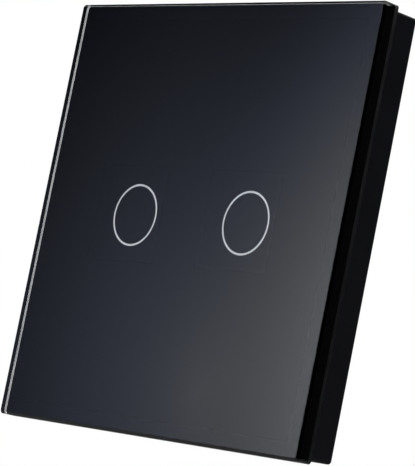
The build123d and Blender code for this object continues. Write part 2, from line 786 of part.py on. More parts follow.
with BuildPart() as relay_windings:
    wound_low = bobbin_low + bobbin_flange + bobbin_gap
    wound_high = bobbin_high - bobbin_flange - bobbin_gap
    drum(bobbin_flange_side / 2 - bobbin_gap, up(wound_high), up(wound_low), core_places)
    drum(bore_radius + bobbin_tube + bobbin_gap, up(wound_high), up(wound_low), core_places,
         Mode.SUBTRACT)
keep(relay_windings, "relay_windings")

with BuildPart() as relay_fixed_contacts:
    post_end = inner_end - relay_inner_gap
    shelf_top = fixed_contact_top - contact_height
    shelf_start = contact_along - contact_radius
    shelf_length = post_end - shelf_start
    relay_block(contact_strip_width, fixed_strip, relay_base, shelf_top,
                post_end - fixed_strip / 2)
    relay_block(contact_strip_width, shelf_length, shelf_top - fixed_strip, shelf_top,
                shelf_start + shelf_length / 2)
    contact_places = [(x, relay_middle_z + contact_along) for x in relay_xs]
    drum(contact_radius, up(fixed_contact_top), up(shelf_top), contact_places)
keep(relay_fixed_contacts, "relay_fixed_contacts")

for number, x in enumerate(relay_xs, start=1):
    with BuildPart() as relay_armature:
        armature_start = yoke_end
        armature_length = armature_end - armature_start
        strip_end = contact_along + contact_radius
        strip_length = strip_end - yoke_middle
        block(armature_width, armature_length, up(armature_top), up(armature_low),
              [(x, relay_middle_z + armature_start + armature_length / 2)])
        block(contact_strip_width, strip_length, up(armature_top + contact_strip),
              up(armature_top), [(x, relay_middle_z + yoke_middle + strip_length / 2)])
        drum(contact_radius, up(armature_top), up(moving_contact_low),
             [(x, relay_middle_z + contact_along)])
    keep(relay_armature, f"relay_armature_{number}")

# Places of the supply parts: the transformer stands midway between the relays and the cans
can_x = inner_side - can_side_gap - can_radius
can_upper_z = inner_top - can_top_gap - can_radius
can_places = [(can_x, can_upper_z), (can_x, can_upper_z - 2 * can_radius - can_spacing)]
core_x = (relay_xs[-1] + relay_width / 2 + can_x - can_radius) / 2
core_z = inner_top - core_top_gap - core_side / 2
film_x = inner_side - film_side_gap - film_length / 2
film_z = core_z - core_side / 2 - film_core_gap - film_width / 2
varistor_x = inner_side - varistor_side_gap - varistor_radius
varistor_z = block_top + varistor_block_gap + varistor_thickness / 2
fuse_x = varistor_x - varistor_radius - fuse_varistor_gap - fuse_radius
fuse_z = block_top + fuse_block_gap + fuse_radius
rectifier_x = rectifier_side_gap + rectifier_length / 2 - inner_side
rectifier_z = block_top + rectifier_block_gap + rectifier_width / 2

# Supply transformer: a double-window core and the winding on its centre leg
core_window = (core_side - 2 * core_leg - core_centre_leg) / 2
window_high = core_height - 2 * core_leg
window_shift = core_centre_leg / 2 + core_window / 2
with BuildPart() as transformer_core:
    block(core_thickness, core_side, up(core_height), up(0), [(core_x, core_z)])
    window_places = [(core_x, core_z - window_shift), (core_x, core_z + window_shift)]
    block(core_thickness, core_window, up(core_height - core_leg), up(core_leg),
          window_places, mode=Mode.SUBTRACT)
keep(transformer_core, "transformer_core")

with BuildPart() as transformer_winding:
    low = core_leg + winding_end_gap
    high = core_height - core_leg - winding_end_gap
    wound_depth = core_thickness + 2 * winding_build
    wound_width = core_centre_leg + 2 * winding_build
    block(wound_depth, wound_width, up(high), up(low), [(core_x, core_z)],
          radius=winding_build)
    block(core_thickness + 2 * winding_gap, core_centre_leg + 2 * winding_gap, up(high), up(low),
          [(core_x, core_z)], mode=Mode.SUBTRACT)
keep(transformer_winding, "transformer_winding")

# Smoothing capacitors: round cans with a crimp groove near the foot
with BuildPart() as smoothing_capacitors:
    drum(can_radius, up(can_height), up(0), can_places)
    fillet(smoothing_capacitors.faces().filter_by(Axis.Y).sort_by(Axis.Y)[-2:].edges(),
           radius=can_edge)
    with BuildSketch(layer(up(can_groove_from_foot + can_groove))):
        with Locations(*can_places):
            Circle(can_radius)
            Circle(can_radius - can_groove, mode=Mode.SUBTRACT)
    extrude(amount=can_groove, mode=Mode.SUBTRACT)
keep(smoothing_capacitors, "smoothing_capacitors")

with BuildPart() as suppression_capacitor:
    block(film_length, film_width, up(film_height), up(0), [(film_x, film_z)])
    fillet(suppression_capacitor.edges().filter_by(Axis.Y), radius=film_edge)
keep(suppression_capacitor, "suppression_capacitor")

# Varistor: a dipped disc standing on two leads
with BuildPart() as varistor:
    disc_middle = up(varistor_lift + varistor_radius)
    with BuildSketch(Plane.XY.offset(varistor_z - varistor_thickness / 2)):
        with Locations((varistor_x, -disc_middle)):
            Circle(varistor_radius)
    extrude(amount=varistor_thickness)
    fillet(varistor.faces().filter_by(Axis.Z).edges(), radius=varistor_thickness / 3)
    lead_places = [(varistor_x + side * lead_spacing / 2, varistor_z) for side in (-1, 1)]
    drum(lead_radius, disc_middle, up(0), lead_places)
keep(varistor, "varistor")

with BuildPart() as fuse:
    drum(fuse_radius, up(fuse_height), up(0), [(fuse_x, fuse_z)])
    fillet(fuse.faces().sort_by(Axis.Y)[-1].edges(), radius=fuse_edge)
keep(fuse, "fuse")

with BuildPart() as rectifier:
    block(rectifier_length, rectifier_width, up(rectifier_height), up(0),
          [(rectifier_x, rectifier_z)])
    chamfer(rectifier.faces().sort_by(Axis.Y)[-1].edges(), length=rectifier_edge)
keep(rectifier, "rectifier")

print("clamp travel", round(clamp_travel, 4), "turns", round(clamp_travel / screw_pitch, 4))
print("armature swing, degrees", round(degrees(armature_swing), 4))
print("armature pivot, out and up", round(up(armature_low), 4), relay_middle_z + yoke_middle)
print("clamp screw axes", cage_places)
coil_length = sum(edge.length for edge in coil.edges())
print("touch spring volume against its section times length",
      round(touch_springs.part.volume / 2, 4), round(pi * (spring_wire / 2) ** 2 * coil_length, 4))
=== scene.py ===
"""Looks of the two-gang touch light switch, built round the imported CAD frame.

Lengths are metres. X is to the right, Z is up, and the room is towards -Y. "Out" is the distance
from the wall towards the room, so a point's Y is minus its out.
"""

import logging
import math
from dataclasses import dataclass, replace
from enum import Enum, IntEnum

import bmesh
import bpy
import numpy as np
from mathutils import Matrix, Vector


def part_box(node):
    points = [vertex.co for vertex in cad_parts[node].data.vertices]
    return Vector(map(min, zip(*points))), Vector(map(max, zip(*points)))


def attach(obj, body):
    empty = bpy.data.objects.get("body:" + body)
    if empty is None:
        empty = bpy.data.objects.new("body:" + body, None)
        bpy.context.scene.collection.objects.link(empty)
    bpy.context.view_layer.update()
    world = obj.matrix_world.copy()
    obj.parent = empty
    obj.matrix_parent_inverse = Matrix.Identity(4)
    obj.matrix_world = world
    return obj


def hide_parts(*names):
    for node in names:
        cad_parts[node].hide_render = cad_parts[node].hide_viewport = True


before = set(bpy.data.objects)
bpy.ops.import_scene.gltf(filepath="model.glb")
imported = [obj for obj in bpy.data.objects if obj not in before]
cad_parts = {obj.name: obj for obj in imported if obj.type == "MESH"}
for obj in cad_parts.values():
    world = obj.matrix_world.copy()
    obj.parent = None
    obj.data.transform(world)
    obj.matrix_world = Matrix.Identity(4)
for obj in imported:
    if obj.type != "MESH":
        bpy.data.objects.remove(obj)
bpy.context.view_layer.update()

log = logging.getLogger("switch")
Colour = tuple[float, float, float]
Place = tuple[float, float, float]
Stops = tuple[tuple[float, Colour], ...]

MM = 0.001
CLOSE = 0.01 * MM
NOISE_LOW, NOISE_HIGH = 0.3, 0.7
MOTTLE_OCTAVES, GRAIN_OCTAVES = 3, 2
WHITE: Colour = (1.0, 1.0, 1.0)
ACROSS_X: Place = (1.0, 0.0, 0.0)
ALONG_Y: Place = (0.0, 1.0, 0.0)
UP_Z: Place = (0.0, 0.0, 1.0)


def add_object(name: str, data: bpy.types.ID) -> bpy.types.Object:
    """Puts a mesh, a lamp or a camera into the scene, at the origin.

    Args:
        name: The object's name.
        data: What the object shows.

    Returns:
        The new object.
    """
    made = bpy.data.objects.new(name, data)
    bpy.context.scene.collection.objects.link(made)
    return made


def flat_mesh(name: str, width: float, height: float, level: float = 0.0) -> bpy.types.Mesh:
    """Makes a rectangle about the Z axis that faces up.

    Args:
        name: The mesh's name.
        width: Length along X.
        height: Length along Y.
        level: Its Z.

    Returns:
        The new mesh.
    """
    corners = [(x * width / 2, y * height / 2, level)
               for x, y in ((-1, -1), (1, -1), (1, 1), (-1, 1))]
    mesh = bpy.data.meshes.new(name)
    mesh.from_pydata(corners, [], [(0, 1, 2, 3)])
    return mesh


def add_math(tree: bpy.types.NodeTree, operation: str,
             *values: float | bpy.types.NodeSocket) -> bpy.types.NodeSocket:
    """Adds a sum on numbers and on other nodes' results.

    Args:
        tree: The nodes that it joins.
        operation: The sum, in Blender's name for it.
        values: What goes into each input, in order.

    Returns:
        The sum's result.
    """
    node = tree.nodes.new("ShaderNodeMath")
    node.operation = operation
    for socket, value in zip(node.inputs, values):
        if isinstance(value, bpy.types.NodeSocket):
            tree.links.new(value, socket)
        else:
            socket.default_value = value
    return node.outputs["Value"]


def add_range(tree: bpy.types.NodeTree, value: bpy.types.NodeSocket, start: float, end: float,
              low: float = 0.0, high: float = 1.0, soft: bool = False) -> bpy.types.NodeSocket:
    """Adds a change of scale, which holds its end values outside its range.

    Args:
        tree: The nodes that it joins.
        value: The number to rescale.
        start: The number that gives the low result.
        end: The number that gives the high result.
        low: The result at the start.
        high: The result at the end.
        soft: Whether the change eases in and out.

    Returns:
        The rescaled number.
    """
    node = tree.nodes.new("ShaderNodeMapRange")
    node.interpolation_type = "SMOOTHSTEP" if soft else "LINEAR"
    for name, number in (("From Min", start), ("From Max", end), ("To Min", low), ("To Max", high)):
        node.inputs[name].default_value = number
    tree.links.new(value, node.inputs["Value"])
    return node.outputs["Result"]


def add_ramp(tree: bpy.types.NodeTree, value: bpy.types.NodeSocket, stops: Stops,
             interpolation: str = "LINEAR") -> bpy.types.NodeSocket:
    """Adds a run of colours.

    Args:
        tree: The nodes that it joins.
        value: The number that picks the colour.
        stops: Two or more places on the run, in order, each with its colour.
        interpolation: How the colours change between stops, in Blender's name for it.

    Returns:
        The colour.
    """
    node = tree.nodes.new("ShaderNodeValToRGB")
    node.color_ramp.interpolation = interpolation
    for position, _ in stops[1:-1]:
        node.color_ramp.elements.new(position)
    for element, (position, colour) in zip(node.color_ramp.elements, stops):
        element.position = position
        element.color = (*colour, 1)
    tree.links.new(value, node.inputs["Fac"])
    return node.outputs["Color"]


def show_mix(tree: bpy.types.NodeTree, share: bpy.types.NodeSocket, first: bpy.types.NodeSocket,
             second: bpy.types.NodeSocket) -> None:
    """Shows a mix of two shaders on the surface.

    Args:
        tree: The material's nodes.
        share: The second shader's share.
        first: The shader that shows where the share is 0.
        second: The shader that shows where the share is 1.
    """
    mix = tree.nodes.new("ShaderNodeMixShader")
    for socket, value in zip(mix.inputs, (share, first, second)):
        tree.links.new(value, socket)
    tree.links.new(mix.outputs["Shader"], tree.nodes["Material Output"].inputs["Surface"])


class Grain(Enum):
    """How the small relief of a finish runs: the scale of its noise along X, Y and Z."""

    EVEN = (1.0, 1.0, 1.0)
    BRUSHED_LEVEL = (0.04, 1.0, 1.0)
    BRUSHED_OUT = (1.0, 0.04, 1.0)
    WOUND = (0.02, 1.0, 0.02)


def add_noise(tree: bpy.types.NodeTree, place: bpy.types.NodeSocket, cell_mm: float,
              octaves: float, grain: Grain) -> bpy.types.NodeSocket:
    """Adds a noise field over the object's own coordinates.

    Args:
        tree: The material's nodes.
        place: The object's coordinates.
        cell_mm: Size of the field's cells.
        octaves: How many finer fields are added to it.
        grain: How its cells are drawn out.

    Returns:
        The field's value, mostly between the low and the high level of noise.
    """
    mapping = tree.nodes.new("ShaderNodeMapping")
    mapping.inputs["Scale"].default_value = grain.value
    noise = tree.nodes.new("ShaderNodeTexNoise")
    noise.inputs["Scale"].default_value = 1 / (cell_mm * MM)
    noise.inputs["Detail"].default_value = octaves
    tree.links.new(place, mapping.inputs["Vector"])
    tree.links.new(mapping.outputs["Vector"], noise.inputs["Vector"])
    return noise.outputs["Fac"]


@dataclass(frozen=True)
class Finish:
    """One surface finish, with its colour, gloss and relief, and any painted glow."""

    name: str
    colour: Colour
    roughness: float = 0.5
    metallic: float = 0.0
    colour_spread: float = 0.08
    roughness_spread: float = 0.06
    mottle_mm: float = 6.0
    grain_mm: float = 0.25
    relief: float = 0.15
    relief_depth_mm: float = 0.01
    grain: Grain = Grain.EVEN
    specular: float = 0.5
    mirror_tint: float = 1.0
    coat: float = 0.0
    transmission: float = 0.0
    ior: float = 1.5
    painted_glow: float = 0.0

    def material(self) -> bpy.types.Material:
        """Builds the finish as a node material, once.

        Returns:
            A material whose colour and gloss drift over the piece, and whose fine grain is relief.
        """
        if self in MADE:
            return MADE[self]
        made = MADE[self] = bpy.data.materials.new(self.name)
        made.use_nodes = True
        tree = made.node_tree
        shader = tree.nodes["Principled BSDF"]
        shader.inputs["Metallic"].default_value = self.metallic
        shader.inputs["IOR"].default_value = self.ior
        shader.inputs["Specular IOR Level"].default_value = self.specular
        shader.inputs["Specular Tint"].default_value = (*(self.mirror_tint,) * 3, 1)
        shader.inputs["Coat Weight"].default_value = self.coat
        shader.inputs["Transmission Weight"].default_value = self.transmission
        # A painted glow: the surface gives out light of its own colour, though it is no lamp.
        if self.painted_glow > 0:
            shader.inputs["Emission Color"].default_value = (*self.colour, 1)
            shader.inputs["Emission Strength"].default_value = self.painted_glow
        place = tree.nodes.new("ShaderNodeTexCoord").outputs["Object"]
        mottle = add_noise(tree, place, self.mottle_mm, MOTTLE_OCTAVES, Grain.EVEN)
        self._colour(tree, shader, mottle)
        self._gloss(tree, shader, mottle)
        if self.relief > 0:
            self._relief(tree, shader, place)
        return made

    def _colour(self, tree: bpy.types.NodeTree, shader: bpy.types.Node,
                mottle: bpy.types.NodeSocket) -> None:
        """Lets the colour drift between a darker and a lighter tone of itself.

        Args:
            tree: The material's nodes.
            shader: The node that takes the colour.
            mottle: The noise that the colour drifts with.
        """
        if self.colour_spread <= 0:
            shader.inputs["Base Color"].default_value = (*self.colour, 1)
            return
        dark = tuple(part * (1 - self.colour_spread) for part in self.colour)
        pale = tuple(min(1.0, part * (1 + self.colour_spread)) for part in self.colour)
        drift = add_ramp(tree, mottle, ((NOISE_LOW, dark), (NOISE_HIGH, pale)))
        tree.links.new(drift, shader.inputs["Base Color"])

    def _gloss(self, tree: bpy.types.NodeTree, shader: bpy.types.Node,
               mottle: bpy.types.NodeSocket) -> None:
        """Lets the roughness drift about its middle.

        Args:
            tree: The material's nodes.
            shader: The node that takes the roughness.
            mottle: The noise that the roughness drifts with.
        """
        if self.roughness_spread <= 0:
            shader.inputs["Roughness"].default_value = self.roughness
            return
        drift = add_range(tree, mottle, NOISE_LOW, NOISE_HIGH,
                          max(0.0, self.roughness - self.roughness_spread),
                          min(1.0, self.roughness + self.roughness_spread))
        tree.links.new(drift, shader.inputs["Roughness"])

    def _relief(self, tree: bpy.types.NodeTree, shader: bpy.types.Node,
                place: bpy.types.NodeSocket) -> None:
        """Adds the fine grain as bump.

        Args:
            tree: The material's nodes.
            shader: The node that takes the relief.
            place: The object's coordinates.
        """
        bump = tree.nodes.new("ShaderNodeBump")
        bump.inputs["Strength"].default_value = self.relief
        bump.inputs["Distance"].default_value = self.relief_depth_mm * MM
        fine = add_noise(tree, place, self.grain_mm, GRAIN_OCTAVES, self.grain)
        tree.links.new(fine, bump.inputs["Height"])
        tree.links.new(bump.outputs["Normal"], shader.inputs["Normal"])


@dataclass(frozen=True)
class PaintedShadeBandFinish(Finish):
    """A finish with painted shade in its colour: dark at a band's border near the wall, and clear
    at its far border.

    Half way between the borders it has its own colour. The dark end is painted shade, which
    shapes the light that the band lets through.
    """

    band_mm: tuple[float, float] = (0.0, 1.0)
    painted_shade_share: float = 0.05

    def _colour(self, tree: bpy.types.NodeTree, shader: bpy.types.Node,
                mottle: bpy.types.NodeSocket) -> None:
        """Lets the colour change across the band, by the distance out from the wall, as painted
        shade that darkens it towards the wall.

        Args:
            tree: The material's nodes.
            shader: The node that takes the colour.
            mottle: The noise, which this colour doesn't drift with.
        """
        near, far = self.band_mm
        place = tree.nodes.new("ShaderNodeTexCoord")
        parts = tree.nodes.new("ShaderNodeSeparateXYZ")
        tree.links.new(place.outputs["Object"], parts.inputs["Vector"])
        across = add_range(tree, parts.outputs["Y"], -near * MM, -far * MM)
        # Painted shade: the band's colour darkened at its border near the wall.
        border = tuple(part * self.painted_shade_share for part in self.colour)
        stops = ((0.0, border), (0.5, self.colour), (1.0, WHITE))
        tree.links.new(add_ramp(tree, across, stops, "EASE"), shader.inputs["Base Color"])


MADE: dict[Finish, bpy.types.Material] = {}

POLISHED_GLASS = Finish("polished_glass", WHITE, roughness=0.0, colour_spread=0.0,
                        roughness_spread=0.0, grain_mm=12.0, relief=0.01, transmission=1.0,
                        ior=1.52)
SIDE_GLASS = replace(POLISHED_GLASS, name="side_glass", colour=(0.25, 0.45, 0.39))
PRINTED_GLASS = replace(POLISHED_GLASS, name="printed_glass", colour=(0.0004, 0.0004, 0.0005),
                        colour_spread=0.12, transmission=0.0)
# Ground glass with painted shade: its colour darkens towards the wall, and its zero specular tint
# takes out its reflection, so that it stays dark as if in shade.
GROUND_GLASS_PAINTED_SHADE = PaintedShadeBandFinish("ground_glass_painted_shade", (0.80, 0.82, 0.84), roughness=0.7, mottle_mm=8.0,
                            grain_mm=0.1, relief=0.12, relief_depth_mm=0.004, mirror_tint=0.0,
                            transmission=1.0, ior=1.52, band_mm=(5.3, 6.35))
BLACK_PRINT = Finish("black_ink", (0.0002, 0.0002, 0.0003), roughness=0.0, metallic=1.0,
                     colour_spread=0.12, roughness_spread=0.0, grain_mm=12.0, relief=0.01,
                     mirror_tint=0.0)
# The rings' ink glows a little: painted light that brightens the rings behind the glass.
RING_PRINT = Finish("ring_ink_painted_glow", (0.62, 0.63, 0.67), roughness=0.7, colour_spread=0.03,
                    relief=0.04, specular=0.0, painted_glow=0.22)
FOAM_TAPE = Finish("foam_tape", (0.02, 0.02, 0.02), roughness=0.85, grain_mm=0.3, relief=0.5)
SATIN_BLACK = Finish("satin_black", (0.0016, 0.0020, 0.0040), roughness=0.5, colour_spread=0.12,
                     mottle_mm=9.0, grain_mm=0.12, relief=0.25, relief_depth_mm=0.006,
                     specular=0.15)
SPARKED_BLACK = Finish("sparked_black", (0.019, 0.0195, 0.021), roughness=0.55,
                       colour_spread=0.12, grain_mm=0.3, relief=0.45, relief_depth_mm=0.02)
GREY_MOULDING = Finish("grey_moulding", (0.36, 0.37, 0.38), roughness=0.48, colour_spread=0.05,
                       relief=0.3)
ZINC_PLATE = Finish("zinc_plate", (0.62, 0.64, 0.67), roughness=0.36, metallic=1.0,
                    colour_spread=0.05, roughness_spread=0.02, mottle_mm=9.0, grain_mm=0.3,
                    relief_depth_mm=0.005, grain=Grain.BRUSHED_LEVEL)
BRIGHT_SCREW = Finish("bright_screw", (0.66, 0.67, 0.68), roughness=0.26, metallic=1.0,
                      colour_spread=0.06, roughness_spread=0.08, mottle_mm=1.5, grain_mm=0.2,
                      relief_depth_mm=0.004, grain=Grain.BRUSHED_OUT)
SPRING_STEEL = Finish("rolled_steel", (0.55, 0.55, 0.54), roughness=0.25, metallic=1.0,
                      colour_spread=0.06, mottle_mm=2.0, grain_mm=0.15, relief=0.12,
                      relief_depth_mm=0.003, grain=Grain.BRUSHED_OUT)
SOFT_IRON = Finish("annealed_iron", (0.50, 0.50, 0.49), roughness=0.38, metallic=1.0,
                   roughness_spread=0.08, mottle_mm=2.0)
TINNED_BRASS = Finish("tinned_brass", (0.74, 0.58, 0.32), roughness=0.28, metallic=1.0,
                      colour_spread=0.10, roughness_spread=0.08, mottle_mm=2.5)
COPPER_WINDING = Finish("wound_copper", (0.55, 0.20, 0.08), roughness=0.32, metallic=1.0,
                        colour_spread=0.12, mottle_mm=1.5, grain_mm=0.06, relief=0.8,
                        relief_depth_mm=0.03, grain=Grain.WOUND)
GREEN_BOARD = Finish("green_board", (0.012, 0.12, 0.05), roughness=0.3, colour_spread=0.18,
                     mottle_mm=4.0, grain_mm=0.5, relief=0.12, coat=0.3)
MOULDED_CHIP = Finish("moulded_chip", (0.022, 0.022, 0.024), roughness=0.6, grain_mm=0.12,
                      relief=0.35)
LAMP_RESIN = Finish("lamp_resin", (0.80, 0.76, 0.50), roughness=0.25, colour_spread=0.1,
                    mottle_mm=0.8)
MILKY_ACRYLIC = Finish("milky_acrylic", (0.78, 0.79, 0.81), roughness=0.28, colour_spread=0.03,
                       relief=0.05, transmission=0.35, ior=1.49)
RELAY_MOULDING = Finish("relay_moulding", (0.018, 0.018, 0.02), roughness=0.4, relief=0.2)
NATURAL_MOULDING = Finish("natural_moulding", (0.70, 0.67, 0.58), roughness=0.45)
GROUND_FERRITE = Finish("ground_ferrite", (0.075, 0.075, 0.08), roughness=0.5, metallic=0.2,
                        grain_mm=0.15, relief=0.4)
WOUND_TAPE = Finish("wound_tape", (0.78, 0.55, 0.05), roughness=0.25, coat=0.4)
SLEEVED_CAN = Finish("sleeved_can", (0.012, 0.02, 0.07), roughness=0.3, colour_spread=0.1,
                     coat=0.3)
YELLOW_CASE = Finish("film_case", (0.76, 0.50, 0.05), roughness=0.35, colour_spread=0.06)
BLUE_DIP = Finish("dipped_epoxy", (0.02, 0.10, 0.38), roughness=0.22, colour_spread=0.1,
                  coat=0.5)
PALE_FLOOR = Finish("pale_floor", (0.86, 0.86, 0.86), roughness=0.8, colour_spread=0.01,
                    mottle_mm=80.0, relief=0.0)

NODE_FINISHES: dict[str, Finish] = {
    "glass_panel": POLISHED_GLASS, "back_print": BLACK_PRINT, "touch_rings": RING_PRINT,
    "bonding_tape": FOAM_TAPE, "panel_frame": SATIN_BLACK, "retaining_clips": SPRING_STEEL,
    "clip_rivets": BRIGHT_SCREW, "mounting_plate": ZINC_PLATE, "sensor_cover": SATIN_BLACK,
    "touch_board": GREEN_BOARD, "light_guides": MILKY_ACRYLIC, "indicator_lamps": LAMP_RESIN,
    "touch_springs": SPRING_STEEL, "touch_controller": MOULDED_CHIP, "pin_header": MOULDED_CHIP,
    "header_pins": TINNED_BRASS, "power_board": GREEN_BOARD, "rear_housing": SPARKED_BLACK,
    "housing_screws": BRIGHT_SCREW, "terminal_block": GREY_MOULDING,
    "contact_bars": TINNED_BRASS, "relay_bases": RELAY_MOULDING,
    "relay_covers": RELAY_MOULDING, "relay_yokes": SOFT_IRON,
    "relay_bobbins": NATURAL_MOULDING, "relay_windings": COPPER_WINDING,
    "relay_fixed_contacts": TINNED_BRASS, "transformer_core": GROUND_FERRITE,
    "transformer_winding": WOUND_TAPE, "smoothing_capacitors": SLEEVED_CAN,
    "suppression_capacitor": YELLOW_CASE, "varistor": BLUE_DIP, "fuse": MOULDED_CHIP,
    "rectifier": MOULDED_CHIP,
    **{f"clamp_cage_{way}": BRIGHT_SCREW for way in range(1, 5)},
    **{f"terminal_screw_{way}": BRIGHT_SCREW for way in range(1, 5)},
    **{f"relay_armature_{gang}": SOFT_IRON for gang in (1, 2)},
}


class GlassZone(IntEnum):
    """The zones of the pane, numbered as its materials are."""

    CLEAR = 0
    GROUND = 1
    PRINTED = 2
    SIDE = 3


ZONE_FINISHES: dict[GlassZone, Finish] = {
    GlassZone.CLEAR: POLISHED_GLASS, GlassZone.GROUND: GROUND_GLASS_PAINTED_SHADE,
    GlassZone.PRINTED: PRINTED_GLASS, GlassZone.SIDE: SIDE_GLASS,
}


def rounded_square(half: float, radius: float, steps: int = 10) -> np.ndarray:
    """Works out a square loop with round corners.

    Each corner is a quarter circle about a point that lies the radius in from both sides.

    Args:
        half: Half of the square's side.
        radius: Radius of the corners.
        steps: Spans in each corner.

    Returns:
        The loop's points as an array of X and Z.
    """
    turn = np.linspace(0, math.pi / 2, steps + 1)
    arc = radius * np.stack([np.cos(turn), np.sin(turn)], axis=1)
    middle = half - radius
    corners = []
    for quarter in range(4):
        angle = quarter * math.pi / 2
        spin = np.array([[math.cos(angle), math.sin(angle)], [-math.sin(angle), math.cos(angle)]])
        corners.append((arc + middle) @ spin)
    return np.concatenate(corners)


def ring_faces(rows: int, columns: int) -> np.ndarray:
    """Lists the quads between stacked rings.

    Args:
        rows: How many rings there are.
        columns: How many points each ring has.

    Returns:
        The four point numbers of each quad.
    """
    row, column = np.meshgrid(np.arange(rows - 1), np.arange(columns), indexing="ij")
    after = (column + 1) % columns
    corners = (row * columns + column, row * columns + after,
               (row + 1) * columns + after, (row + 1) * columns + column)
    return np.stack(corners, axis=-1).reshape(-1, 4)


def rings_at(loops: list[np.ndarray], outs: list[float]) -> np.ndarray:
    """Stacks loops at their distances out from the wall.

    Args:
        loops: Each loop's points as an array of X and Z.
        outs: Each loop's distance out.

    Returns:
        Array of rows, columns and X, Y, Z.
    """
    return np.stack([np.column_stack([loop[:, 0], np.full(len(loop), -out), loop[:, 1]])
                     for loop, out in zip(loops, outs)])


def make_piece(name: str, points: np.ndarray, body: str, finishes: list[Finish],
               ends: bool = True, row_finish: np.ndarray | None = None) -> bpy.types.Object:
    """Makes a flat-shaded piece from rings of points and lets it ride on a body.

    Args:
        name: The piece's name.
        points: Array of rows, columns and X, Y, Z. Each row is a closed ring.
        body: The CAD body that the piece rides on.
        finishes: The finishes that the piece wears. Its ends wear the first one.
        ends: Whether flat faces close the first and the last ring.
        row_finish: For each band between two rings, the number of its finish.

    Returns:
        The new object.
    """
    rows, columns = points.shape[:2]
    faces = ring_faces(rows, columns).tolist()
    wears = np.zeros(len(faces), int) if row_finish is None else np.repeat(row_finish, columns)
    if ends:
        faces += [list(range(columns)), list(range((rows - 1) * columns, rows * columns))]
        wears = np.concatenate([wears, [0, 0]])
    mesh = bpy.data.meshes.new(name)
    mesh.from_pydata(points.reshape(-1, 3).tolist(), [], faces)
    mesh.polygons.foreach_set("material_index", wears.astype(np.int32))
    mesh.polygons.foreach_set("use_smooth", np.zeros(len(faces), bool))
    shell = bmesh.new()
    shell.from_mesh(mesh)
    bmesh.ops.recalc_face_normals(shell, faces=shell.faces)
    shell.to_mesh(mesh)
    shell.free()
    for finish in finishes:
        mesh.materials.append(finish.material())
    piece = add_object(name, mesh)
    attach(piece, body)
    log.info("piece %s: %d faces on %s", name, len(faces), body)
    return piece


